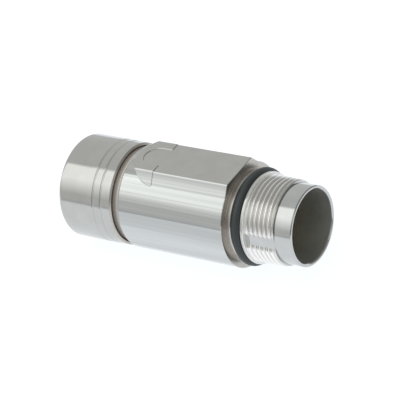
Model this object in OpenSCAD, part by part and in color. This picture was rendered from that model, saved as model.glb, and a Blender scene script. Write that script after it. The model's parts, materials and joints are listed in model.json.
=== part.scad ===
// Circular power connector: nickel-plated cable coupler with an outside coupling thread.
// The connector's axis lies along X. The mating end points to +X, the cable end to -X, and +Z is up.
// The origin is on the axis, at the rear end of the coupling thread.

/* [Coupling end] */
// Outer diameter of the coupling thread
thread_d = 17; // [15:0.5:24]
// Length of the coupling thread
thread_len = 6.3; // [4.5:0.1:10]
// Radial step from the thread down to the plain tip
tip_step = 0.6; // [0.45:0.05:0.9]
// Length of the plain tip in front of the thread
tip_len = 3.75; // [2.5:0.05:7]
// Wall of the tip around the socket
tip_wall = 0.7; // [0.5:0.05:1.1]
// Depth of the socket that takes the mating plug
socket_depth = 8.9; // [6:0.1:9.6]
// Break on the tip's outer edge
rim_chamfer = 0.2; // [0.1:0.05:0.3]
// Break on the tip's inner edge
rim_bevel = 0.2; // [0.1:0.05:0.25]
// Lead-in chamfer at the front of the thread
thread_chamfer = 0.3; // [0.15:0.05:0.4]
// Pitch of the coupling thread
thread_pitch = 1; // [0.75:0.05:1.5]
// Depth of the coupling thread
thread_depth = 0.42; // [0.3:0.02:0.5]
// Width of the slot that is milled along the thread
slot_w = 2.8; // [1.5:0.1:4.4]
// Height of the slot's floor above the plain tip
slot_rise = 0.04; // [0.02:0.01:0.2]

/* [Flange and seal] */
// Radial step from the thread up to the flange
flange_step = 0.55; // [0.35:0.05:0.9]
// Thickness of the thin flange in front of the seal ring
flange_w = 0.65; // [0.45:0.05:1.1]
// Depth of the seal groove below the flange
groove_depth = 1.3; // [0.9:0.05:1.5]
// Cord diameter of the coupling seal ring
ring_section = 1.9; // [1.5:0.1:2.2]
// Length of the collar between the seal groove and the body
collar_len = 1.3; // [0.8:0.1:3]
// Chamfer on the collar's front edge
collar_chamfer = 0.3; // [0.15:0.05:0.45]

/* [Body] */
// Wall of the body around its cavity
body_wall = 2.8; // [2.6:0.05:4.5]
// Length of the body
body_len = 24.8; // [23:0.2:37]
// Width of the raised pad along the top of the body, at its top
pad_w = 8.9; // [7:0.1:10]
// Height of the pad's milled front above the round body
pad_rise = 0.05; // [0.05:0.05:0.5]
// Slope of the pad's sides, in degrees
pad_slope = 52; // [45:1:70]
// Depth that the pad's sides reach below its top, into the round body
pad_drop = 2.3; // [2:0.1:3]
// Radius of the pad's round rear end, seen from above
pad_end_r = 6.4; // [6.4:0.1:9]
// Length of the pad's milled front
flat_len = 17.2; // [10:0.1:18]
// Height of the step between the pad's milled front and its higher rear
flat_step = 0.15; // [0.1:0.05:0.3]
// Length of the pad's higher rear
rear_flat_len = 6.3; // [5.5:0.05:6.8]
// Break on the sharp turned edges of the body and the flange
edge_break = 0.1; // [0.05:0.05:0.2]
// Chamfer on the body's rear edge
rear_chamfer = 0.6; // [0.3:0.05:0.8]
// Width of the round-ended tongue that carries the pad's milled front past its step
tongue_w = 5.2; // [3:0.1:6]
// Length of the tongue
tongue_len = 4.8; // [3.6:0.1:5.2]

/* [Cavity and insert] */
// Radial step from the socket down to the seat of the insert's nose
seat_step = 0.35; // [0.2:0.05:0.6]
// Distance from the tip's rim to the shoulder that stops the insert
seat_depth = 16.7; // [15.5:0.1:19]
// Radial width of the shoulder that stops the insert
shoulder_w = 0.8; // [0.6:0.05:1.2]
// Length of the insert's nose in front of the shoulder
nose_len = 1.55; // [0.8:0.05:2.2]
// Thickness of the flat gasket at the shoulder
gasket_t = 0.9; // [0.6:0.05:1.5]
// Thickness of the insert's flange
insert_flange_t = 2.1; // [1.5:0.1:3]
// Length of the insert's barrel behind its flange
barrel_len = 5.5; // [4.5:0.1:9]
// Length of the insert's rear half
rear_half_len = 5.2; // [3.7:0.1:6.7]
// Thickness of the snap ring
snap_t = 0.75; // [0.6:0.05:1]
// Depth of the snap ring's groove in the cavity wall
snap_depth = 0.5; // [0.3:0.05:0.75]
// Wall of the metal sleeve behind the snap ring
sleeve_wall = 0.65; // [0.45:0.05:0.8]

/* [Contacts] */
// Diameter of a contact pin
pin_d = 1.5; // [1:0.1:1.8]
// Diameter of a contact's shank
shank_d = 2.5; // [2.2:0.1:2.8]
// Radius of the circle that the contacts stand on
contact_circle_r = 4; // [3.7:0.1:4.4]
// Distance from the socket's floor back to the pin tips
pin_recess = 0.2; // [0.1:0.1:1.5]
// Length of the crimp barrels behind the insert
crimp_len = 2.6; // [1.5:0.1:4.5]
// Wall of the crimp barrels
crimp_wall = 0.35; // [0.2:0.05:0.5]
// Thickness of the earth plate
earth_plate_t = 0.45; // [0.3:0.05:0.75]

/* [Cable clamp] */
// Wall of the threaded spigot around the cavity
spigot_wall = 1.2; // [1.05:0.05:1.6]
// Length of the spigot's thread
spigot_len = 4.6; // [3.7:0.1:6.7]
// Radial step from the spigot's thread up to its seal land
land_step = 0.8; // [0.5:0.05:0.95]
// Length of the seal land
land_len = 4.45; // [3.7:0.05:6.7]
// Depth of the rear seal groove in the land
rear_groove_depth = 0.85; // [0.6:0.05:0.95]
// Length of the shield ring
shield_len = 3; // [2.2:0.1:3.7]
// Distance from the spigot's rear end forward to the clamp cage's front
cage_seat = 3.7; // [3:0.1:6]
// Radial width of the clamp cage's flange
cage_flange_w = 0.4; // [0.3:0.05:0.6]
// Thickness of the clamp cage's flange
cage_flange_t = 0.8; // [0.6:0.1:1.2]
// Wall of the clamp cage's fingers
finger_wall = 1.1; // [0.75:0.05:1.35]
// Wall of the cable seal between the cage's fingers and the cable
seal_wall = 1.3; // [0.9:0.1:3]
// Width of the slots between the cage's fingers
finger_slot = 0.75; // [0.45:0.05:1.2]

/* [Gland nut] */
// Gap that the nut closes when it is tightened
nut_gap = 1.45; // [0.75:0.05:2.2]
// Wall of the nut around the seal land
nut_wall = 0.7; // [0.6:0.05:1.5]
// Radial step from the cavity up to the pocket for the thrust ring
pocket_step = 0.2; // [0.1:0.05:0.45]
// Radial lip of the nut's cable hole inside the clamp cage
hole_lip = 0.3; // [0.15:0.05:0.45]
// Depth of the pocket for the thrust ring
pocket_len = 2.45; // [2.2:0.05:3.7]
// Thickness of the nut's rear wall
nut_rear_wall = 1.5; // [1.1:0.1:3]
// Rounding of the nut's rear edge
nut_round = 0.95; // [0.35:0.05:1]
// Chamfer on the nut's front edge
nut_chamfer = 0.3; // [0.15:0.05:0.35]
// Length of the nut's tapered front zone
nut_taper_len = 5.6; // [5.2:0.1:7.5]
// Radial fall of the nut's tapered front zone
nut_taper = 0.15; // [0.05:0.05:0.2]
// Distance from the nut's front to its first ring groove
nut_groove_x = 2.35; // [1.5:0.05:3]
// Spacing of the nut's ring grooves
nut_groove_pitch = 1.85; // [1.1:0.05:2.2]
// Width of the nut's ring grooves
nut_groove_w = 0.3; // [0.15:0.05:0.6]
// Depth of the nut's ring grooves
nut_groove_depth = 0.15; // [0.05:0.05:0.2]
// Thickness of the thrust ring
thrust_t = 1.5; // [1:0.1:1.9]

/* [Clearances] */
// Radial clearance of pieces that turn or slide on each other
running_gap = 0.05; // [0.02:0.01:0.09]
// Clearance of pieces that sit still in a bore
seat_gap = 0.05; // [0.02:0.01:0.1]
// Radial clearance of the insert's nose in its seat
nose_gap = 0.08; // [0.05:0.01:0.15]
// Radial room between the insert's barrel and the metal sleeve
barrel_gap = 0.3; // [0.15:0.05:0.45]
// Radial room between the nut's skirt and the seal land
skirt_gap = 0.15; // [0.1:0.05:0.3]
// Axial room that is left when the nut is fully tightened
stop_gap = 0.1; // [0.05:0.05:0.2]
// Axial room between the clamp cage and the thrust ring when the nut is fully tightened
finger_gap = 0.25; // [0.1:0.05:0.4]

/* [Hidden] */

// Facets of a full turn
smooth = 96;
// Steps of the nut's rounded rear edge
round_steps = 8;
// Turn of the thread's slot about the axis, from straight up
slot_turn = 84;
// Places on the contact circle
poles = 6;
// Fingers of the clamp cage
fingers = 8;
// Opening of the snap ring, in degrees
snap_opening = 30;
// Half the angle that the earth plate spans
earth_half_angle = 28;
// Length by which a cut overshoots the face that it opens
cut = 1;

// Radii, from the coupling thread inwards and then outwards
thread_r = thread_d / 2;
tip_r = thread_r - tip_step;
socket_r = tip_r - tip_wall;
flange_r = thread_r + flange_step;
groove_r = flange_r - groove_depth;
seat_r = socket_r - seat_step;
cavity_r = seat_r + shoulder_w;
body_r = cavity_r + body_wall;
flat_r = body_r + pad_rise;
pad_r = flat_r + flat_step;
spigot_r = cavity_r + spigot_wall;
land_r = spigot_r + land_step;
rear_groove_r = land_r - rear_groove_depth;
skirt_r = land_r + skirt_gap;
nut_r = skirt_r + nut_wall;
nose_r = seat_r - nose_gap;
sleeve_out_r = cavity_r - seat_gap;
sleeve_in_r = sleeve_out_r - sleeve_wall;
barrel_r = sleeve_in_r - barrel_gap;
pin_r = pin_d / 2;
shank_r = shank_d / 2;
crimp_r = shank_r - crimp_wall;
finger_out_r = sleeve_out_r - cage_flange_w;
finger_in_r = finger_out_r - finger_wall;
cable_r = finger_in_r - seal_wall;
pocket_r = cavity_r + pocket_step;
thrust_r = pocket_r - running_gap;
nut_hole_r = finger_in_r - hole_lip;

// Places along the axis, from the rim to the cable end
rim_x = thread_len + tip_len;
socket_floor_x = rim_x - socket_depth;
groove_w = ring_section + seat_gap;
flange_rear_x = -flange_w;
groove_rear_x = flange_rear_x - groove_w;
shoulder_x = groove_rear_x - collar_len;
step_x = shoulder_x - flat_len;
pad_rear_x = step_x - rear_flat_len;
body_rear_x = shoulder_x - body_len;
land_rear_x = body_rear_x - land_len;
spigot_rear_x = land_rear_x - spigot_len;
seat_x = rim_x - seat_depth;
nose_x = seat_x + nose_len;
flange_front_x = seat_x - gasket_t;
snap_front_x = flange_front_x - insert_flange_t;
snap_rear_x = snap_front_x - snap_t;
barrel_rear_x = snap_front_x - barrel_len;
half_rear_x = barrel_rear_x - rear_half_len;
crimp_rear_x = half_rear_x - crimp_len;
pin_tip_x = socket_floor_x - pin_recess;
shank_front_x = flange_front_x;
cage_front_x = spigot_rear_x + cage_seat;
shield_front_x = cage_front_x + shield_len;

// The coupling thread: rings of its pitch, from its front chamfer back to the flange
crest_w = thread_pitch / 5;
flank_w = (thread_pitch - 2 * crest_w) / 2;
thread_front_x = thread_len - thread_chamfer - crest_w / 2;
thread_grooves = floor((thread_front_x + crest_w * 3 / 4) / thread_pitch);
slot_floor_r = tip_r + slot_rise;

// The nut's travel, and the places that it sets
nut_travel = nut_gap - stop_gap;
nut_front_x = body_rear_x - nut_gap;
skirt_rear_x = land_rear_x - nut_travel - stop_gap;
nut_thread_rear_x = spigot_rear_x - nut_travel - stop_gap;
pocket_floor_x = nut_thread_rear_x - pocket_len;
nut_rear_x = pocket_floor_x - nut_rear_wall;
thrust_rear_x = pocket_floor_x + running_gap;
thrust_front_x = thrust_rear_x + thrust_t;
cage_rear_x = thrust_front_x + nut_travel + finger_gap;
rear_groove_w = rear_groove_depth + skirt_gap;
rear_groove_x = nut_front_x - rear_groove_w;

// Colours
nickel = [0.74, 0.74, 0.71];
rubber = [0.09, 0.1, 0.1];
insulator = [0.13, 0.13, 0.14];
gold = [0.83, 0.66, 0.3];
brass = [0.72, 0.6, 0.34];
spring_steel = [0.55, 0.56, 0.57];
cage_plastic = [0.82, 0.82, 0.78];

// Body of revolution about X from an outline of [radius, x] points
module turned(outline) {
    rotate([0, 90, 0])
        rotate_extrude($fn = smooth)
            polygon(outline);
}

// Plain ring about X
module ring(inner_r, outer_r, front_x, rear_x) {
    turned([[inner_r, rear_x], [outer_r, rear_x], [outer_r, front_x], [inner_r, front_x]]);
}

// Plain round bar about X
module bar(r, front_x, rear_x) {
    translate([rear_x, 0, 0])
        rotate([0, 90, 0])
            cylinder(h = front_x - rear_x, r = r, $fn = smooth);
}

// Ring of round cord about X
module cord_ring(middle_r, section, x) {
    translate([x, 0, 0])
        rotate([0, 90, 0])
            rotate_extrude($fn = smooth)
                translate([middle_r, 0])
                    circle(d = section, $fn = smooth);
}

// Moves a piece to a place on the contact circle
module at_pole(place) {
    rotate([place * 360 / poles, 0, 0])
        translate([0, 0, contact_circle_r])
            children();
}

// Raised pad along the top of the body: sloping sides and a round rear end
module pad() {
    half_w = pad_w / 2;
    run = pad_drop / tan(pad_slope);
    foot_r = pad_r - pad_drop;
    inner_r = flat_r - body_wall / 2;
    intersection() {
        translate([pad_rear_x - cut, 0, 0])
            rotate([90, 0, 90])
                linear_extrude(height = shoulder_x - pad_rear_x + cut)
                    polygon([
                        [-half_w, pad_r],
                        [-half_w - run, foot_r],
                        [-half_w, inner_r],
                        [half_w, inner_r],
                        [half_w + run, foot_r],
                        [half_w, pad_r]
                    ]);
        translate([pad_rear_x + pad_end_r, 0, 0])
            linear_extrude(height = pad_r + cut) {
                circle(r = pad_end_r, $fn = smooth);
                translate([0, -body_r])
                    square([body_len, 2 * body_r]);
            }
    }
}

// Cutter of the pad's milled front, up to the step
module flat_cutter() {
    translate([step_x, -body_r, flat_r])
        cube([flat_len + cut, 2 * body_r, body_r]);
}

// Cutter of the tongue: the pad's milled front runs past its step to a round end
module tongue_cutter() {
    straight = tongue_len - tongue_w / 2;
    translate([step_x, 0, flat_r])
        linear_extrude(height = body_r) {
            translate([-straight, -tongue_w / 2])
                square([straight + cut, tongue_w]);
            translate([-straight, 0])
                circle(d = tongue_w, $fn = smooth);
        }
}

// Cutter of the slot along the thread
module slot_cutter() {
    rotate([slot_turn, 0, 0])
        translate([0, -slot_w / 2, slot_floor_r])
            cube([thread_len + cut, slot_w, thread_r]);
}

// Housing: one piece from the tip to the threaded spigot, turned but for the pad along its top
module housing() {
    root_r = thread_r - thread_depth;
    tip = [
        [tip_r - rim_chamfer, rim_x],
        [tip_r, rim_x - rim_chamfer],
        [tip_r, thread_len],
        [thread_r - thread_chamfer, thread_len],
        [thread_r, thread_len - thread_chamfer]
    ];
    thread = [
        for (groove = [0 : thread_grooves - 1])
            let (front_x = thread_front_x - groove * thread_pitch, root_x = front_x - flank_w)
                each [
                    [thread_r, front_x],
                    [root_r, root_x],
                    [root_r, root_x - crest_w],
                    [thread_r, root_x - crest_w - flank_w]
                ]
    ];
    outside = [
        [thread_r, 0],
        [flange_r - edge_break, 0],
        [flange_r, -edge_break],
        [flange_r, flange_rear_x],
        [groove_r, flange_rear_x],
        [groove_r, groove_rear_x],
        [flange_r - collar_chamfer, groove_rear_x],
        [flange_r, groove_rear_x - collar_chamfer],
        [flange_r, shoulder_x],
        [body_r - edge_break, shoulder_x],
        [body_r, shoulder_x - edge_break],
        [body_r, body_rear_x + rear_chamfer],
        [body_r - rear_chamfer, body_rear_x],
        [land_r, body_rear_x],
        [land_r, rear_groove_x],
        [rear_groove_r, rear_groove_x],
        [rear_groove_r, rear_groove_x - rear_groove_w],
        [land_r, rear_groove_x - rear_groove_w],
        [land_r, land_rear_x],
        [spigot_r, land_rear_x],
        [spigot_r, spigot_rear_x + thread_chamfer],
        [spigot_r - thread_chamfer, spigot_rear_x]
    ];
    inside = [
        [cavity_r, spigot_rear_x],
        [cavity_r, snap_rear_x],
        [cavity_r + snap_depth, snap_rear_x],
        [cavity_r + snap_depth, snap_front_x],
        [cavity_r, snap_front_x],
        [cavity_r, seat_x],
        [seat_r, seat_x],
        [seat_r, socket_floor_x],
        [socket_r, socket_floor_x],
        [socket_r, rim_x - rim_bevel],
        [socket_r + rim_bevel, rim_x]
    ];
    color(nickel)
        difference() {
            union() {
                turned(concat(tip, thread, outside, inside));
                pad();
            }
            flat_cutter();
            tongue_cutter();
            slot_cutter();
        }
}

// Seal ring between the coupling flange and the collar
module coupling_seal() {
    color(rubber)
        cord_ring(groove_r + ring_section / 2, ring_section, flange_rear_x - groove_w / 2);
}

// Flat gasket between the insert's flange and the housing's shoulder
module insert_gasket() {
    color(rubber)
        ring(seat_r, cavity_r - seat_gap, seat_x, flange_front_x);
}

// Front half of the contact insert, which the pins stand out of
module insert_front() {
    color(insulator)
        difference() {
            union() {
                bar(nose_r, nose_x, flange_front_x);
                bar(cavity_r - seat_gap, flange_front_x, snap_front_x);
                bar(barrel_r, snap_front_x, barrel_rear_x);
            }
            for (place = [0 : poles - 1])
                at_pole(place) {
                    bar(pin_r + seat_gap, nose_x + cut, shank_front_x - cut);
                    bar(shank_r + seat_gap, shank_front_x, barrel_rear_x - cut);
                }
        }
}

// Tapered plate around the earth contact, used for the earth plate and, grown, for its recess
module earth_sector(outer_r, thickness, grow, lead) {
    inner_z = contact_circle_r - shank_d;
    outer_z = 2 * outer_r;
    spread = tan(earth_half_angle);
    translate([barrel_rear_x - thickness, 0, 0])
        intersection() {
            rotate([0, 90, 0])
                cylinder(h = thickness + lead, r = outer_r, $fn = smooth);
            rotate([90, 0, 90])
                linear_extrude(height = thickness + lead)
                    polygon([
                        [inner_z * spread + grow, inner_z - grow],
                        [outer_z * spread + grow, outer_z],
                        [-outer_z * spread - grow, outer_z],
                        [-inner_z * spread - grow, inner_z - grow]
                    ]);
        }
}

// Rear half of the contact insert, which locks the contacts
module insert_rear() {
    color(insulator)
        difference() {
            bar(barrel_r, barrel_rear_x, half_rear_x);
            for (place = [0 : poles - 1])
                at_pole(place)
                    bar(shank_r + seat_gap, barrel_rear_x + cut, half_rear_x - cut);
            earth_sector(sleeve_in_r, earth_plate_t + seat_gap, seat_gap, cut);
        }
}

// One pin contact with its crimp barrel
module contact(place) {
    nose = pin_r / 2;
    crimp_depth = crimp_len + rear_half_len / 2;
    color(gold)
        at_pole(place)
            difference() {
                turned([
                    [0, crimp_rear_x],
                    [shank_r, crimp_rear_x],
                    [shank_r, shank_front_x - seat_gap],
                    [pin_r, shank_front_x - seat_gap],
                    [pin_r, pin_tip_x - nose],
                    [pin_r - nose, pin_tip_x],
                    [0, pin_tip_x]
                ]);
                bar(crimp_r, crimp_rear_x + crimp_depth, crimp_rear_x - cut);
            }
}

// Plate that joins the earth contact to the screen sleeve
module earth_plate() {
    color(brass)
        difference() {
            earth_sector(sleeve_in_r - seat_gap, earth_plate_t, 0, 0);
            at_pole(0)
                bar(shank_r + seat_gap, barrel_rear_x + cut, half_rear_x);
        }
}

// Open snap ring that holds the insert in the housing
module snap_ring() {
    color(spring_steel)
        rotate([snap_opening / 2, 0, 0])
            rotate([0, 90, 0])
                rotate_extrude(angle = 360 - snap_opening, $fn = smooth)
                    polygon([
                        [sleeve_in_r, snap_rear_x],
                        [cavity_r + snap_depth - seat_gap, snap_rear_x],
                        [cavity_r + snap_depth - seat_gap, snap_front_x],
                        [sleeve_in_r, snap_front_x]
                    ]);
}

// Metal sleeve around the crimp barrels, from the snap ring to the shield ring
module screen_sleeve() {
    color(brass)
        ring(sleeve_in_r, sleeve_out_r, snap_rear_x, shield_front_x);
}

// Ring that the cable's screen is folded back on
module shield_ring() {
    color(brass)
        ring(finger_in_r, sleeve_out_r, shield_front_x, cage_front_x);
}

// Clamp cage with fingers that close on the cable seal
module clamp_cage() {
    root_x = cage_front_x - cage_flange_t;
    color(cage_plastic)
        difference() {
            turned([
                [finger_in_r, cage_front_x],
                [finger_in_r, cage_rear_x],
                [finger_out_r - finger_wall / 2, cage_rear_x],
                [finger_out_r, cage_rear_x + finger_wall / 2],
                [finger_out_r, root_x],
                [sleeve_out_r, root_x],
                [sleeve_out_r, cage_front_x]
            ]);
            for (place = [0 : fingers - 1])
                rotate([(place + 1 / 2) * 360 / fingers, 0, 0])
                    translate([cage_rear_x - cut, -finger_slot / 2, finger_in_r - cut])
                        cube([root_x - cage_rear_x, finger_slot, finger_wall + 2 * cut]);
        }
}

// Rubber sleeve that grips and seals the cable
module cable_seal() {
    lead = seal_wall / 4;
    seal_r = finger_in_r - seat_gap;
    rear_x = cage_rear_x + finger_wall / 2;
    color(rubber)
        turned([
            [cable_r, cage_front_x - lead],
            [cable_r + lead, cage_front_x],
            [seal_r, cage_front_x],
            [seal_r, rear_x],
            [cable_r + lead, rear_x],
            [cable_r, rear_x + lead]
        ]);
}

// Ring that passes the nut's thrust on to the clamp cage without turning with it
module thrust_ring() {
    color(brass)
        turned([
            [nut_hole_r, thrust_rear_x],
            [thrust_r, thrust_rear_x],
            [thrust_r, thrust_front_x],
            [finger_out_r, thrust_front_x],
            [nut_hole_r, thrust_rear_x + thrust_t / 4]
        ]);
}

// Gland nut: plain round, with a tapered front zone, ring grooves and a rounded rear edge
module gland_nut() {
    rear_arc = [
        for (step = [0 : round_steps])
            let (a = step * 90 / round_steps)
                [nut_r - nut_round * (1 - cos(a)), nut_rear_x + nut_round * (1 - sin(a))]
    ];
    nut_front_r = nut_r - nut_taper;
    taper_rear_x = nut_front_x - nut_taper_len;
    outline = concat(
        [
            [skirt_r, nut_front_x],
            [nut_front_r - nut_chamfer, nut_front_x],
            [nut_front_r, nut_front_x - nut_chamfer],
            [nut_r, taper_rear_x]
        ],
        rear_arc,
        [
            [nut_hole_r, nut_rear_x],
            [nut_hole_r, pocket_floor_x],
            [pocket_r, pocket_floor_x],
            [pocket_r, nut_thread_rear_x],
            [spigot_r + running_gap, nut_thread_rear_x],
            [spigot_r + running_gap, skirt_rear_x],
            [skirt_r, skirt_rear_x]
        ]
    );
    color(nickel)
        difference() {
            turned(outline);
            for (line = [0 : 1]) {
                groove_front_x = nut_front_x - nut_groove_x - line * nut_groove_pitch;
                share = (nut_front_x - groove_front_x) / nut_taper_len;
                ring(
                    nut_front_r + share * nut_taper - nut_groove_depth,
                    nut_r + cut,
                    groove_front_x,
                    groove_front_x - nut_groove_w
                );
            }
        }
}

// Seal ring between the housing's land and the nut's skirt
module rear_seal() {
    section = skirt_r - running_gap - rear_groove_r;
    color(rubber)
        cord_ring(rear_groove_r + section / 2, section, rear_groove_x - rear_groove_w / 2);
}

housing();
coupling_seal();
insert_gasket();
insert_front();
insert_rear();
contact(1);  // contact_1
contact(2);  // contact_2
contact(3);  // contact_3
contact(4);  // contact_4
contact(5);  // contact_5
contact(0);  // contact_earth
earth_plate();
snap_ring();
screen_sleeve();
shield_ring();
clamp_cage();
cable_seal();
thrust_ring();
gland_nut();
rear_seal();
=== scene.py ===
"""Looks of the circular power connector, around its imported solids."""
import json
import math

import bmesh
import bpy
from mathutils import Matrix, Vector


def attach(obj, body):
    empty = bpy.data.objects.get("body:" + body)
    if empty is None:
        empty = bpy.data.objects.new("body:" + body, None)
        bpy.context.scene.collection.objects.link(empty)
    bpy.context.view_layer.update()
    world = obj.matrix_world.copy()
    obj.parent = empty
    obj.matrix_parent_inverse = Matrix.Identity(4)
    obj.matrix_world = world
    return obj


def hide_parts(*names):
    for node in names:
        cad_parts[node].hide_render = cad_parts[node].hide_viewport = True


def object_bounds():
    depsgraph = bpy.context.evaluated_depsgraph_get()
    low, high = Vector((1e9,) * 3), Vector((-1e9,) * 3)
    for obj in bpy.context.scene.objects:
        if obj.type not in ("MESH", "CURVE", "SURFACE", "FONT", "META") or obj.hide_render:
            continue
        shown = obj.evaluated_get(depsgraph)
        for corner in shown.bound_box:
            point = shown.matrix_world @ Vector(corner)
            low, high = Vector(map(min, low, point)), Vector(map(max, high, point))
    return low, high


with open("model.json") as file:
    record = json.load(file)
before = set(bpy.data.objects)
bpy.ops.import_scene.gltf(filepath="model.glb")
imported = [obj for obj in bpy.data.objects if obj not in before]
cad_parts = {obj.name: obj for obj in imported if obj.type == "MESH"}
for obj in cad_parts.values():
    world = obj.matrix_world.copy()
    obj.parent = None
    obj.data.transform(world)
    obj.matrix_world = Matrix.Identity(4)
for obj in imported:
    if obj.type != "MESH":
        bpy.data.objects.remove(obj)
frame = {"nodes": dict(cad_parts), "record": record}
cad_box = [list(corner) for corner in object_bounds()]

MM = 0.001
TURN = 2 * math.pi

# Sizes of the solids, in millimetres, as the part's source has them
RIM_X, TIP_R, SOCKET_R, SOCKET_FLOOR_X = 10.05, 7.9, 7.2, 1.15
RIM_BREAK, EDGE_BREAK = 0.2, 0.1
THREAD_R, THREAD_END_X, THREAD_CHAMFER = 8.5, 6.3, 0.3
THREAD_PITCH, THREAD_DEPTH = 1.0, 0.42
SLOT_W, SLOT_FLOOR_R, SLOT_ANGLE = 2.8, 7.94, 174
FLANGE_R, FLANGE_REAR_X = 9.05, -0.65
GROOVE_R, GROOVE_REAR_X, RING_SECTION = 7.75, -2.6, 1.9
COLLAR_CHAMFER, SHOULDER_X = 0.3, -3.9
BODY_R, BODY_REAR_X, REAR_CHAMFER = 10.45, -28.7, 0.6
FLAT_R, PAD_R, STEP_X, PAD_REAR_X = 10.5, 10.65, -21.1, -27.4
PAD_HALF, PAD_END_R, PAD_ANGLE = 4.45, 6.4, 90
PAD_STEEP = math.tan(math.radians(52))
TONGUE_W, TONGUE_LEN = 5.2, 4.8
LAND_R, LAND_REAR_X = 9.65, -33.15
REAR_GROOVE_R, REAR_GROOVE_X, REAR_GROOVE_W = 8.8, -31.15, 1.0
SPIGOT_R, SPIGOT_REAR_X = 8.85, -37.75
CAVITY_R, SEAT_R, SEAT_X = 7.65, 6.85, -6.65
SNAP_R, SNAP_FRONT_X, SNAP_REAR_X = 8.15, -9.65, -10.4
NUT_R, NUT_FRONT_R, NUT_FRONT_X, NUT_REAR_X = 10.5, 10.35, -30.15, -43.15
NUT_TAPER_X, NUT_ROUND, NUT_CHAMFER = -35.75, 0.95, 0.3
NUT_GROOVES, NUT_GROOVE_W = (2.35, 4.2), 0.3
SKIRT_R, SKIRT_REAR_X = 9.8, -34.6
NUT_THREAD_R, NUT_THREAD_REAR_X = 8.9, -39.2
POCKET_R, POCKET_FLOOR_X, HOLE_R = 7.85, -41.65, 5.8

# Fine forms that only the looks have, in millimetres and degrees
STEP_EASE = 0.06
SIDE_STEP = 0.1
GROOVE_STEPS, GROOVE_REACH, GROOVE_FALL = 8, 0.3, 0.1
EDGE_TOP_ANGLE, EDGE_SIDE_ANGLE, FOOT_ANGLE = 0.3, 0.9, 0.5
PAD_OVERRUN, PAD_DROP = 0.2, 0.05
SLOT_WALL_ANGLE = 2.2
THREAD_ROWS = 22
THREAD_FADE = 0.3
THREAD_PHASE = 0.85

# Radius on the body's front face from which the rows follow the pad
FACE_R = 9.95

# Finishes of the housing's faces, in the order of its material slots
TURNED, DRAWN, BORE, SHADED, COLLAR, THREADED, TIP, FLANGE = range(8)


def arc_corner(before, corner, after, size, steps):
    """Points that round one corner of an outline with an arc of that radius."""
    p, c, q = Vector(before), Vector(corner), Vector(after)
    u, v = (p - c).normalized(), (q - c).normalized()
    half = math.acos(max(-1, min(1, u.dot(v)))) / 2
    longest = 0.49
    reach = min(size / math.tan(half), (p - c).length * longest, (q - c).length * longest)
    radius = reach * math.tan(half)
    middle = c + (u + v).normalized() * (radius / math.sin(half))
    a, b = c + u * reach - middle, c + v * reach - middle
    swing = math.atan2(a.x * b.y - a.y * b.x, a.dot(b))
    points = []
    for i in range(steps + 1):
        t = swing * i / steps
        x, y = a.x * math.cos(t) - a.y * math.sin(t), a.x * math.sin(t) + a.y * math.cos(t)
        points.append((middle.x + x, middle.y + y))
    return points


def supported(points):
    """The same outline with a point near both ends of each long stretch, to keep its shading flat."""
    long_stretch, near = 0.5, 0.1
    denser = points[:1]
    for before, point in zip(points, points[1:]):
        p, q = Vector(before), Vector(point)
        length = (q - p).length
        if length > long_stretch:
            denser += [tuple(p.lerp(q, near / length)), tuple(q.lerp(p, near / length))]
        denser.append(point)
    return denser


def rounded(outline, usual=0.05):
    """Closed outline of (radius, x) points; a third value rounds that corner, a fourth sets its steps."""
    points = []
    for i, point in enumerate(outline):
        size = point[2] if len(point) > 2 else usual
        steps = point[3] if len(point) > 3 else 2
        if size == 0:
            points.append(point[:2])
            continue
        before, after = outline[i - 1][:2], outline[(i + 1) % len(outline)][:2]
        points += arc_corner(before, point[:2], after, size, steps)
    return points


def add_object(name, bm):
    """Object from a finished bmesh."""
    bmesh.ops.recalc_face_normals(bm, faces=bm.faces)
    mesh = bpy.data.meshes.new(name)
    bm.to_mesh(mesh)
    bm.free()
    obj = bpy.data.objects.new(name, mesh)
    bpy.context.scene.collection.objects.link(obj)
    return obj


def grid_object(name, rows):
    """Ring-shaped mesh from rows of (x, y, z) points in millimetres; rows and columns both close."""
    bm = bmesh.new()
    grid = [[bm.verts.new(Vector(point) * MM) for point in row] for row in rows]
    for i in range(len(grid)):
        a, b = grid[i - 1], grid[i]
        for j in range(len(a)):
            face = bm.faces.new((a[j - 1], a[j], b[j], b[j - 1]))
            face.smooth = True
    return add_object(name, bm)


def around(x, r, degrees):
    """Point at an angle about X, counted from +Y towards +Z."""
    a = math.radians(degrees)
    return (x, r * math.cos(a), r * math.sin(a))


def lathe(name, outline, columns, sharp):
    """Body of revolution about X from a closed outline of (radius, x) points."""
    rows = [[around(x, r, 360 * j / columns) for j in range(columns)] for r, x in outline]
    obj = grid_object(name, rows)
    obj.data.set_sharp_from_angle(angle=math.radians(sharp))
    return obj


def top_level(x):
    """Height of the pad's top above the axis: a milled front, and a higher rear behind its step."""
    return FLAT_R if x > STEP_X else PAD_R


def side_half(x):
    """Half the width that the pad's sloping sides would have at the level of its rear."""
    return PAD_HALF if x > STEP_X else PAD_HALF + SIDE_STEP


def pad_level(x, y):
    """Height of the pad's surface above the axis, before its rear end is cut round."""
    if x < PAD_REAR_X - PAD_OVERRUN:
        return 0.0
    return min(top_level(x), PAD_R - max(0.0, abs(y) - side_half(x)) * PAD_STEEP)


def body_radius(x, r, degrees):
    """Distance from the axis to the body's surface: round with radius r, or the pad where that is higher."""
    lowest_sine, headroom, halvings = 0.5, 2.0, 30
    a = math.radians(degrees)
    if math.sin(a) < lowest_sine:
        return r
    low, high = r, PAD_R + headroom
    for _ in range(halvings):
        middle = (low + high) / 2
        if middle * math.sin(a) < pad_level(x, middle * math.cos(a)):
            low = middle
        else:
            high = middle
    return low


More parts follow.
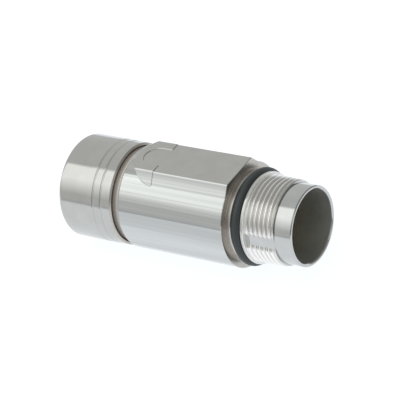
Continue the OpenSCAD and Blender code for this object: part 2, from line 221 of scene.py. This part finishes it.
def pad_angles(x):
    """Angles from straight up to the pad's top edge and to the foot of its sloping side."""
    level = top_level(x)
    y = side_half(x) + (PAD_R - level) / PAD_STEEP
    slope = math.atan(PAD_STEEP)
    along = y * math.cos(slope) - level * math.sin(slope)
    reach = -along - math.sqrt(along ** 2 - y ** 2 - level ** 2 + BODY_R ** 2)
    foot_y, foot_z = y + reach * math.cos(slope), level - reach * math.sin(slope)
    return math.degrees(math.atan2(y, level)), math.degrees(math.atan2(foot_y, foot_z))


def column_angles(x=SHOULDER_X):
    """Angles of a row's points: they follow the pad's edges and feet, and both edges of the thread's slot."""
    across, wall_steps, near_steps, slot_steps, far_steps = 44, 6, 36, 20, 150
    slot_half = math.degrees(math.asin(SLOT_W / 2 / THREAD_R))
    low, high, wall, e = SLOT_ANGLE - slot_half, SLOT_ANGLE + slot_half, SLOT_WALL_ANGLE, FOOT_ANGLE
    edge, foot = pad_angles(x)
    inner, outer = edge - EDGE_TOP_ANGLE, edge + EDGE_SIDE_ANGLE
    before, after = PAD_ANGLE, PAD_ANGLE + 360
    stops = [
        (before - inner, across), (before + inner, 1), (before + outer, wall_steps),
        (before + foot - e, 1), (before + foot, 1), (before + foot + e, near_steps), (low - wall, 1),
        (low + wall, slot_steps), (high - wall, 1), (high + wall, far_steps), (after - foot - e, 1),
        (after - foot, 1), (after - foot + e, wall_steps), (after - outer, 1),
    ]
    angles = []
    for n, (start, steps) in enumerate(stops):
        stop = stops[n + 1][0] if n + 1 < len(stops) else stops[0][0] + 360
        angles += [start + (stop - start) * i / steps for i in range(steps)]
    return angles


def body_row(x, inset=0.0):
    """One row of the body: a round section with the pad on it."""
    return [around(x, body_radius(x, BODY_R, angle) - inset, angle) for angle in column_angles(x)]


def plain_row(x, r):
    """One row of a round stretch of the housing."""
    return [around(x, r, angle) for angle in column_angles()]


def thread_row(x):
    """One row of the coupling thread: a right-hand helix with eased crests, and the slot along it."""
    slot_half = math.degrees(math.asin(SLOT_W / 2 / THREAD_R))
    fade = min(1.0, x / THREAD_FADE)
    limit = THREAD_R - max(0.0, x - THREAD_END_X + THREAD_CHAMFER)
    row = []
    for angle in column_angles():
        turns = (x - THREAD_PHASE) / THREAD_PITCH - angle / 360
        fall = (1 - math.cos(TURN * turns)) / 2
        r = min(limit, THREAD_R - THREAD_DEPTH * fade * fall)
        off = angle - SLOT_ANGLE
        if abs(off) < slot_half:
            r = SLOT_FLOOR_R / math.cos(math.radians(off))
        row.append(around(x, r, angle))
    return row


def housing_rows():
    """Rows of the housing's grid, from the rim back along the outside and forward along the inside."""
    ease, flange_ease, rear_ease, flange_steps = 0.08, 0.12, 0.1, 4
    tip_foot_x = THREAD_END_X + 0.02
    tip = [
        (SOCKET_R, RIM_X - RIM_BREAK), (SOCKET_R + RIM_BREAK, RIM_X), (TIP_R - RIM_BREAK, RIM_X, ease),
        (TIP_R, RIM_X - RIM_BREAK, ease), (TIP_R, tip_foot_x, 0.0),
    ]
    front = [
        (THREAD_R, 0.0, 0.0), (FLANGE_R, 0.0, flange_ease, flange_steps), (FLANGE_R, FLANGE_REAR_X, ease),
        (GROOVE_R, FLANGE_REAR_X), (GROOVE_R, GROOVE_REAR_X), (FLANGE_R - COLLAR_CHAMFER, GROOVE_REAR_X),
        (FLANGE_R, GROOVE_REAR_X - COLLAR_CHAMFER), (FLANGE_R, SHOULDER_X), (FACE_R, SHOULDER_X, 0.0),
    ]
    rear = [
        (BODY_R - REAR_CHAMFER, BODY_REAR_X, rear_ease), (LAND_R, BODY_REAR_X), (LAND_R, REAR_GROOVE_X),
        (REAR_GROOVE_R, REAR_GROOVE_X), (REAR_GROOVE_R, REAR_GROOVE_X - REAR_GROOVE_W),
        (LAND_R, REAR_GROOVE_X - REAR_GROOVE_W), (LAND_R, LAND_REAR_X), (SPIGOT_R, LAND_REAR_X),
        (SPIGOT_R, SPIGOT_REAR_X + THREAD_CHAMFER), (SPIGOT_R - THREAD_CHAMFER, SPIGOT_REAR_X),
        (CAVITY_R, SPIGOT_REAR_X), (CAVITY_R, SNAP_REAR_X), (SNAP_R, SNAP_REAR_X), (SNAP_R, SNAP_FRONT_X),
        (CAVITY_R, SNAP_FRONT_X), (CAVITY_R, SEAT_X), (SEAT_R, SEAT_X), (SEAT_R, SOCKET_FLOOR_X),
        (SOCKET_R, SOCKET_FLOOR_X),
    ]
    outline = rounded(tip + front + rear)
    first_thread = outline.index((TIP_R, tip_foot_x)) + 1
    first_body = outline.index((FACE_R, SHOULDER_X)) + 1
    rows = [plain_row(x, r) for r, x in supported(outline[:first_thread])]
    count = round(THREAD_END_X / THREAD_PITCH * THREAD_ROWS)
    rows += [thread_row(THREAD_END_X * (1 - i / count)) for i in range(count + 1)]
    rows += [plain_row(x, r) for r, x in supported(outline[first_thread + 1:first_body])]
    rows.append(body_row(SHOULDER_X, EDGE_BREAK))
    stations = [SHOULDER_X - EDGE_BREAK, (SHOULDER_X + STEP_X) / 2, STEP_X + STEP_EASE, STEP_X - STEP_EASE]
    pad_end_x = PAD_REAR_X - PAD_OVERRUN
    stations += [(STEP_X + pad_end_x) / 2, pad_end_x, pad_end_x - PAD_DROP, BODY_REAR_X + REAR_CHAMFER]
    rows += [body_row(x) for x in stations]
    rows += [plain_row(x, r) for r, x in supported(outline[first_body:] + outline[:1])[:-1]]
    return rows


def housing_finish(face):
    """Which finish a face of the housing has, by its place."""
    near, sliver, over_body, over_slot, flange_front_x = 0.05, 0.02, 0.01, 0.12, -0.15
    centre = face.calc_center_median() / MM
    x, r = centre.x, math.hypot(centre.y, centre.z)
    # inside the bore: painted light
    if r < CAVITY_R + near and x < RIM_X - RIM_BREAK:
        return BORE
    # land in the gap: painted shade
    if x < BODY_REAR_X and r < LAND_R + near:
        return SHADED
    # collar between body and seal ring: painted shade
    if SHOULDER_X - sliver < x < GROOVE_REAR_X - COLLAR_CHAMFER:
        return COLLAR
    on_pad = centre.z > BODY_R + over_body
    if r > FACE_R and BODY_REAR_X + REAR_CHAMFER < x < SHOULDER_X and not on_pad:
        return DRAWN
    # thread faces: painted shade in the roots, painted highlight on the crests
    if 0 < x < THREAD_END_X and r > SLOT_FLOOR_R + over_slot:
        return THREADED
    if x > sliver:
        return TIP
    # flange front: painted highlight
    if x > flange_front_x:
        return FLANGE
    return TURNED


def prism(name, low, high):
    """Closed mesh between two loops of points, in millimetres."""
    bm = bmesh.new()
    below = [bm.verts.new(Vector(p) * MM) for p in low]
    above = [bm.verts.new(Vector(p) * MM) for p in high]
    bm.faces.new(below)
    bm.faces.new(above)
    for i in range(len(low)):
        bm.faces.new((below[i - 1], below[i], above[i], above[i - 1]))
    return add_object(name, bm)


def cut_away(target, cutter):
    """Takes the cutter's volume out of the target's mesh and removes the cutter."""
    modifier = target.modifiers.new("cut", "BOOLEAN")
    modifier.operation = "DIFFERENCE"
    modifier.solver = "EXACT"
    modifier.object = cutter
    with bpy.context.temp_override(object=target, active_object=target, selected_objects=[target]):
        bpy.ops.object.modifier_apply(modifier="cut")
    bpy.data.objects.remove(cutter)


def tongue_cutter():
    """Round-ended prism with sloping sides that carries the pad's front level past its step."""
    steps, lead, rise = 64, 0.4, 1.0
    straight = TONGUE_LEN - TONGUE_W / 2

    def plan(grow, z):
        r = TONGUE_W / 2 + grow
        points = [(STEP_X + lead, -r, z), (STEP_X + lead, r, z)]
        for i in range(steps + 1):
            a = math.pi / 2 + math.pi * i / steps
            points.append((STEP_X - straight + r * math.cos(a), r * math.sin(a), z))
        return points

    slope = 2 * STEP_EASE / (PAD_R - FLAT_R)
    return prism("tongue", plan(-STEP_EASE, FLAT_R), plan(rise * slope - STEP_EASE, FLAT_R + rise))


def end_cutter():
    """What stands above the round body behind the pad's round rear end."""
    steps, columns, low, high, margin = 120, 360, 6.0, 12.0, 0.004
    middle_x = PAD_REAR_X + PAD_END_R
    behind_x, ahead_x = BODY_REAR_X - 1, STEP_X + 1
    plan = [(behind_x, PAD_END_R), (behind_x, -PAD_END_R)]
    for i in range(steps + 1):
        a = -math.pi / 2 - math.pi * i / steps
        plan.append((middle_x + PAD_END_R * math.cos(a), PAD_END_R * math.sin(a)))
    block = prism("end", [(x, y, low) for x, y in plan], [(x, y, high) for x, y in plan])
    turns = [360 * j / columns for j in range(columns)]
    loops = [[around(x, BODY_R + margin, turn) for turn in turns] for x in (behind_x - 1, ahead_x)]
    cut_away(block, prism("core", *loops))
    return block


def finish_housing(obj):
    """Finishes by place, and sharp edges by angle: the pad meets the body at small angles."""
    body_limit, limit, past = 9, 30, 0.01
    bm = bmesh.new()
    bm.from_mesh(obj.data)
    for edge in bm.edges:
        middle = (edge.verts[0].co + edge.verts[1].co) / 2 / MM
        on_body = math.hypot(middle.y, middle.z) > FACE_R and BODY_REAR_X < middle.x < SHOULDER_X + past
        edge.smooth = edge.calc_face_angle(0.0) < math.radians(body_limit if on_body else limit)
    for face in bm.faces:
        face.smooth = True
        face.material_index = housing_finish(face)
    bm.to_mesh(obj.data)
    bm.free()


def make_housing():
    """Housing with its helical thread, its slot and the pad's round end and tongue."""
    obj = grid_object("housing_metal", housing_rows())
    cut_away(obj, end_cutter())
    cut_away(obj, tongue_cutter())
    finish_housing(obj)
    return obj


def make_nut():
    """Gland nut with softened ring grooves and a rounded rear edge."""
    columns, sharp, rear_steps, hole_round, hole_steps, play = 320, 30, 14, 0.2, 4, 0.05

    def on_taper(x):
        share = (NUT_FRONT_X - x) / (NUT_FRONT_X - NUT_TAPER_X)
        return NUT_FRONT_R + share * (NUT_R - NUT_FRONT_R)

    outline = [(SKIRT_R, NUT_FRONT_X), (NUT_FRONT_R - NUT_CHAMFER, NUT_FRONT_X)]
    outline.append((NUT_FRONT_R, NUT_FRONT_X - NUT_CHAMFER))
    for behind in NUT_GROOVES:
        for i in range(-GROOVE_STEPS, GROOVE_STEPS + 1):
            share = i / GROOVE_STEPS
            x = NUT_FRONT_X - behind - NUT_GROOVE_W / 2 - share * GROOVE_REACH
            fall = (1 + math.cos(math.pi * share)) / 2
            outline.append((on_taper(x) - GROOVE_FALL * fall, x, 0.0))
    outline += [
        (NUT_R, NUT_TAPER_X, 0.0), (NUT_R, NUT_REAR_X, NUT_ROUND, rear_steps),
        (HOLE_R, NUT_REAR_X, hole_round, hole_steps), (HOLE_R, POCKET_FLOOR_X),
        (POCKET_R, POCKET_FLOOR_X), (POCKET_R, NUT_THREAD_REAR_X),
        (NUT_THREAD_R, NUT_THREAD_REAR_X), (NUT_THREAD_R, SKIRT_REAR_X), (SKIRT_R, SKIRT_REAR_X),
    ]
    points = rounded(outline)
    obj = lathe("gland_nut_metal", supported(points + points[:1])[:-1], columns, sharp)
    # the nut's front face, beside the gap, takes the collar's painted shade
    for polygon in obj.data.polygons:
        x, y, z = polygon.center / MM
        on_front = x > NUT_FRONT_X - NUT_CHAMFER and math.hypot(y, z) > SKIRT_R - play
        polygon.material_index = 1 if on_front else 0
    return obj


def make_ring():
    """Seal ring between flange and collar."""
    steps, columns, sharp = 40, 256, 60
    middle_r, middle_x = GROOVE_R + RING_SECTION / 2, (FLANGE_REAR_X + GROOVE_REAR_X) / 2
    outline = []
    for i in range(steps):
        a = TURN * i / steps
        outline.append((middle_r + RING_SECTION / 2 * math.cos(a), middle_x + RING_SECTION / 2 * math.sin(a)))
    return lathe("coupling_seal_rubber", outline, columns, sharp)


def tree(name):
    """New material with its nodes, links and shader."""
    material = bpy.data.materials.new(name)
    material.use_nodes = True
    nodes, links = material.node_tree.nodes, material.node_tree.links
    return material, nodes, links, nodes["Principled BSDF"]


def stretched_noise(nodes, links, scale, detail=3.0):
    """Noise in object space, stretched by a different scale along each axis."""
    place = nodes.new("ShaderNodeTexCoord")
    mapping = nodes.new("ShaderNodeMapping")
    mapping.inputs["Scale"].default_value = scale
    noise = nodes.new("ShaderNodeTexNoise")
    noise.inputs["Scale"].default_value = 1.0
    noise.inputs["Detail"].default_value = detail
    links.new(place.outputs["Object"], mapping.inputs["Vector"])
    links.new(mapping.outputs["Vector"], noise.inputs["Vector"])
    return noise


def spread(nodes, links, source, low, high):
    """Value between low and high that follows a noise."""
    node = nodes.new("ShaderNodeMapRange")
    node.inputs["From Min"].default_value = 0.3
    node.inputs["From Max"].default_value = 0.7
    node.inputs["To Min"].default_value = low
    node.inputs["To Max"].default_value = high
    links.new(source.outputs["Fac"], node.inputs["Value"])
    return node.outputs["Result"]


def tinted(nodes, links, source, dark, light):
    """Colour between two tones that follows a noise."""
    node = nodes.new("ShaderNodeMix")
    node.data_type = "RGBA"
    node.inputs["A"].default_value = (*dark, 1)
    node.inputs["B"].default_value = (*light, 1)
    links.new(spread(nodes, links, source, 0.0, 1.0), node.inputs["Factor"])
    return node.outputs["Result"]


def raised(nodes, links, shader, source, strength, height):
    """Fine relief that follows a noise."""
    relief = nodes.new("ShaderNodeBump")
    relief.inputs["Strength"].default_value = strength
    relief.inputs["Distance"].default_value = height
    links.new(source.outputs["Fac"], relief.inputs["Height"])
    links.new(relief.outputs["Normal"], shader.inputs["Normal"])


TURNED_LINES = (9000.0, 80.0, 80.0)
DRAWN_LINES = (4.0, 1100.0, 1100.0)
CLOUDS = (350.0, 350.0, 350.0)
DRAWN_STREAKS = (6.0, 520.0, 520.0)


def metal(name, dark, light, rough, lines=TURNED_LINES, strength=0.02, height=0.00002, patches=CLOUDS):
    """Metal with fine lines around or along the axis and a tone that varies in patches."""
    material, nodes, links, shader = tree(name)
    shader.inputs["Metallic"].default_value = 1.0
    clouds = stretched_noise(nodes, links, patches)
    fine = stretched_noise(nodes, links, lines, 2.0)
    links.new(tinted(nodes, links, clouds, dark, light), shader.inputs["Base Color"])
    links.new(spread(nodes, links, fine, rough[0], rough[1]), shader.inputs["Roughness"])
    raised(nodes, links, shader, fine, strength, height)
    return material


def soft(name, dark, light, rough, grain):
    """Rubber or moulded plastic with a fine grain."""
    material, nodes, links, shader = tree(name)
    specks = stretched_noise(nodes, links, (grain, grain, grain), 4.0)
    links.new(tinted(nodes, links, specks, dark, light), shader.inputs["Base Color"])
    links.new(spread(nodes, links, specks, rough[0], rough[1]), shader.inputs["Roughness"])
    strength, height = 0.15, 0.00003
    raised(nodes, links, shader, specks, strength, height)
    return material


def by_angle(nodes, links, direction, stops, tone):
    """Tone that follows the angle about X, from +Y towards +Z, with (degrees, level) stops."""
    split = nodes.new("ShaderNodeSeparateXYZ")
    angle = nodes.new("ShaderNodeMath")
    angle.operation = "ARCTAN2"
    share = nodes.new("ShaderNodeMapRange")
    share.inputs["From Min"].default_value = -math.pi
    share.inputs["From Max"].default_value = math.pi
    ramp = nodes.new("ShaderNodeValToRGB")
    links.new(direction, split.inputs["Vector"])
    links.new(split.outputs["Z"], angle.inputs[0])
    links.new(split.outputs["Y"], angle.inputs[1])
    links.new(angle.outputs["Value"], share.inputs["Value"])
    links.new(share.outputs["Result"], ramp.inputs["Fac"])
    elements = ramp.color_ramp.elements
    for i, (turn, level) in enumerate(stops):
        place = (turn + 180) / 360
        element = elements[i] if i < 2 else elements.new(place)
        element.position = place
        element.color = (level * tone[0], level * tone[1], level * tone[2], 1)
    return ramp.outputs["Color"]


def gap_painted_shade(name, deep, open_tone):
    """Dull metal of the land in the gap, with painted shade: dark brown under the nut, lighter towards the
    body.
    """
    deep_x, open_x = BODY_REAR_X - 0.9, BODY_REAR_X - 0.1
    material, nodes, links, shader = tree(name)
    shader.inputs["Metallic"].default_value = 0.3
    shader.inputs["Roughness"].default_value = 0.4
    place = nodes.new("ShaderNodeTexCoord")
    split = nodes.new("ShaderNodeSeparateXYZ")
    share = nodes.new("ShaderNodeMapRange")
    share.interpolation_type = "SMOOTHSTEP"
    share.inputs["From Min"].default_value = deep_x * MM
    share.inputs["From Max"].default_value = open_x * MM
    mix = nodes.new("ShaderNodeMix")
    mix.data_type = "RGBA"
    mix.inputs["A"].default_value = (*deep, 1)
    mix.inputs["B"].default_value = (*open_tone, 1)
    links.new(place.outputs["Object"], split.inputs["Vector"])
    links.new(split.outputs["X"], share.inputs["Value"])
    links.new(share.outputs["Result"], mix.inputs["Factor"])
    links.new(mix.outputs["Result"], shader.inputs["Base Color"])
    return material


def thread_painted_shade(name, root, crest):
    """Metal with painted shade: its tone falls off towards the thread's roots, with a painted highlight on
    the crests.
    """
    near_root, near_crest = 0.9, 0.1
    material, nodes, links, shader = tree(name)
    shader.inputs["Metallic"].default_value = 1.0
    shader.inputs["Roughness"].default_value = 0.22
    place = nodes.new("ShaderNodeTexCoord")
    flatten = nodes.new("ShaderNodeVectorMath")
    flatten.operation = "MULTIPLY"
    flatten.inputs[1].default_value = (0.0, 1.0, 1.0)
    length = nodes.new("ShaderNodeVectorMath")
    length.operation = "LENGTH"
    share = nodes.new("ShaderNodeMapRange")
    share.inputs["From Min"].default_value = (THREAD_R - THREAD_DEPTH * near_root) * MM
    share.inputs["From Max"].default_value = (THREAD_R - THREAD_DEPTH * near_crest) * MM
    mix = nodes.new("ShaderNodeMix")
    mix.data_type = "RGBA"
    mix.inputs["A"].default_value = (*root, 1)
    mix.inputs["B"].default_value = (*crest, 1)
    links.new(place.outputs["Object"], flatten.inputs[0])
    links.new(flatten.outputs["Vector"], length.inputs[0])
    links.new(length.outputs["Value"], share.inputs["Value"])
    links.new(share.outputs["Result"], mix.inputs["Factor"])
    links.new(mix.outputs["Result"], shader.inputs["Base Color"])
    return material


nickel = metal("nickel_plate", (0.49, 0.482, 0.462), (0.525, 0.517, 0.497), (0.04, 0.08))
nickel_tip = metal("nickel_tip", (0.5, 0.5, 0.49), (0.55, 0.55, 0.54), (0.04, 0.08))
nickel_drawn = metal(
    "nickel_drawn", (0.45, 0.455, 0.447), (0.62, 0.625, 0.615), (0.05, 0.1),
    lines=DRAWN_LINES, strength=1.0, height=0.00006, patches=DRAWN_STREAKS,
)
# painted light: lighter nickel inside the bore to lift its shade
bore_painted_light = metal("bore_painted_light", (0.58, 0.585, 0.555), (0.66, 0.665, 0.635), (0.42, 0.55))
# painted highlight: near-white nickel on the flange's front face
flange_painted_highlight = metal("flange_painted_highlight", (0.8, 0.79, 0.77), (0.88, 0.87, 0.85), (0.45, 0.55))
# painted shade: the land in the gap darkens towards the nut
nickel_shaded = gap_painted_shade("nickel_shaded", (0.22, 0.19, 0.165), (0.5, 0.47, 0.44))
# painted shade: darker, brown-tinted nickel for the recessed collar and the nut's front face
collar_painted_shade = metal("collar_painted_shade", (0.48, 0.45, 0.415), (0.56, 0.525, 0.485), (0.25, 0.38))
# painted highlight on the thread's crests and painted shade in its roots
thread_shade_and_highlight = thread_painted_shade("thread_shade_and_highlight", (0.66, 0.635, 0.6), (0.93, 0.915, 0.89))
rubber = soft("seal_rubber", (0.018, 0.022, 0.022), (0.034, 0.04, 0.04), (0.42, 0.58), 9000.0)
plastic = soft("insulator", (0.018, 0.018, 0.02), (0.03, 0.03, 0.032), (0.45, 0.6), 6000.0)
gold = metal("contact_gold", (0.78, 0.56, 0.2), (0.86, 0.66, 0.28), (0.18, 0.28))
brass = metal("bare_brass", (0.62, 0.47, 0.22), (0.72, 0.56, 0.28), (0.25, 0.38))
steel = metal("spring_steel", (0.42, 0.43, 0.44), (0.52, 0.53, 0.54), (0.25, 0.38))
pale = soft("cage_plastic", (0.62, 0.62, 0.58), (0.7, 0.7, 0.66), (0.42, 0.55), 4000.0)
finishes = {
    "nickel_plate": nickel, "seal_rubber": rubber, "insulator": plastic, "contact_gold": gold,
    "bare_brass": brass, "spring_steel": steel, "cage_plastic": pale,
}
for part in frame["record"]["subparts"]:
    materials = frame["nodes"][part["node"]].data.materials
    materials.clear()
    materials.append(finishes[part["material_slot"]])


def dress(obj, materials, body, node):
    """Gives a piece its materials and the body that it moves with, and hides the solid that it stands for."""
    for material in materials:
        obj.data.materials.append(material)
    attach(obj, body)
    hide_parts(node)


shell_finishes = [
    nickel, nickel_drawn, bore_painted_light, nickel_shaded, collar_painted_shade, thread_shade_and_highlight, nickel_tip, flange_painted_highlight,
]
dress(make_housing(), shell_finishes, "connector", "housing")
dress(make_nut(), [nickel, collar_painted_shade], "nut", "gland_nut")
dress(make_ring(), [rubber], "connector", "coupling_seal")


def place_camera():
    """Long lens at the photograph's viewing angle, aimed at the front half of the body."""
    azimuth, elevation, roll = math.radians(-48.36), math.radians(34.53), math.radians(-16.11)
    aim, distance = Vector((-11.28, -4.78, 5.7)), 382.7
    reach = math.cos(elevation)
    back = Vector((reach * math.cos(azimuth), reach * math.sin(azimuth), math.sin(elevation)))
    level = Vector((-math.sin(azimuth), math.cos(azimuth), 0.0))
    right = math.cos(roll) * level + math.sin(roll) * back.cross(level)
    data = bpy.data.cameras.new("camera")
    data.sensor_width = 36.0
    data.lens = 179.8
    data.clip_start = 0.01
    data.clip_end = 20.0
    camera = bpy.data.objects.new("camera", data)
    turn = Matrix((right, back.cross(right), back)).transposed().to_4x4()
    camera.matrix_world = Matrix.Translation((aim + distance * back) * MM) @ turn
    bpy.context.scene.collection.objects.link(camera)
    bpy.context.scene.camera = camera


def make_floor():
    """White light table that the connector lies on."""
    low = min(corner[2] for corner in cad_box)
    side, fade_start, fade_end, bright, dim = 4.0, 0.12, 0.32, 0.96, 0.55
    mesh = bpy.data.meshes.new("floor")
    corners = [(-side, -side, low), (side, -side, low), (side, side, low), (-side, side, low)]
    mesh.from_pydata(corners, [], [(0, 1, 2, 3)])
    obj = bpy.data.objects.new("floor", mesh)
    bpy.context.scene.collection.objects.link(obj)
    material, nodes, links, shader = tree("floor_glass")
    specks = stretched_noise(nodes, links, (900.0, 900.0, 900.0))
    grey = tinted(nodes, links, specks, (0.11, 0.115, 0.12), (0.125, 0.13, 0.135))
    links.new(grey, shader.inputs["Base Color"])
    shader.inputs["Roughness"].default_value = 0.9
    shader.inputs["Specular IOR Level"].default_value = 0.0
    shader.inputs["Emission Color"].default_value = (0.95, 0.99, 1.03, 1)
    place = nodes.new("ShaderNodeTexCoord")
    length = nodes.new("ShaderNodeVectorMath")
    length.operation = "LENGTH"
    fade = nodes.new("ShaderNodeMapRange")
    fade.interpolation_type = "SMOOTHSTEP"
    fade.inputs["From Min"].default_value = fade_start
    fade.inputs["From Max"].default_value = fade_end
    fade.inputs["To Min"].default_value = bright
    fade.inputs["To Max"].default_value = dim
    links.new(place.outputs["Object"], length.inputs[0])
    links.new(length.outputs["Value"], fade.inputs["Value"])
    links.new(fade.outputs["Result"], shader.inputs["Emission Strength"])
    mesh.materials.append(material)


def studio_world():
    """Studio walls: a bright strip overhead on the camera's side, greyer walls, and a dim mating side."""
    wall, bright, tint = 0.73, 1.5, (0.975, 1.0, 0.985)
    dim_start_x, dim_end_x, dimmest = -0.2, 0.4, 0.45
    start, full, fade, end = 97, 103, 130, 165
    strip = ((-180, wall), (start, wall), (full, bright), (fade, bright), (end, wall), (180, wall))
    world = bpy.data.worlds.new("studio")
    bpy.context.scene.world = world
    world.use_nodes = True
    nodes, links = world.node_tree.nodes, world.node_tree.links
    place = nodes.new("ShaderNodeTexCoord")
    split = nodes.new("ShaderNodeSeparateXYZ")
    dim = nodes.new("ShaderNodeMapRange")
    dim.interpolation_type = "SMOOTHSTEP"
    dim.inputs["From Min"].default_value = dim_start_x
    dim.inputs["From Max"].default_value = dim_end_x
    dim.inputs["To Min"].default_value = 1.0
    dim.inputs["To Max"].default_value = dimmest
    links.new(place.outputs["Generated"], split.inputs["Vector"])
    links.new(split.outputs["X"], dim.inputs["Value"])
    colour = by_angle(nodes, links, place.outputs["Generated"], strip, tint)
    background = nodes["Background"]
    links.new(colour, background.inputs["Color"])
    links.new(dim.outputs["Result"], background.inputs["Strength"])


def top_light():
    """Soft light from above."""
    data = bpy.data.lights.new("top_light", "AREA")
    data.shape = "SQUARE"
    data.size = 1.0
    data.energy = 5.0
    obj = bpy.data.objects.new("top_light", data)
    obj.location = (-0.1, -0.1, 1.0)
    obj.visible_glossy = False
    bpy.context.scene.collection.objects.link(obj)


place_camera()
make_floor()
studio_world()
top_light()
bpy.context.scene.view_settings.view_transform = "Standard"
bpy.context.scene.view_settings.look = "None"
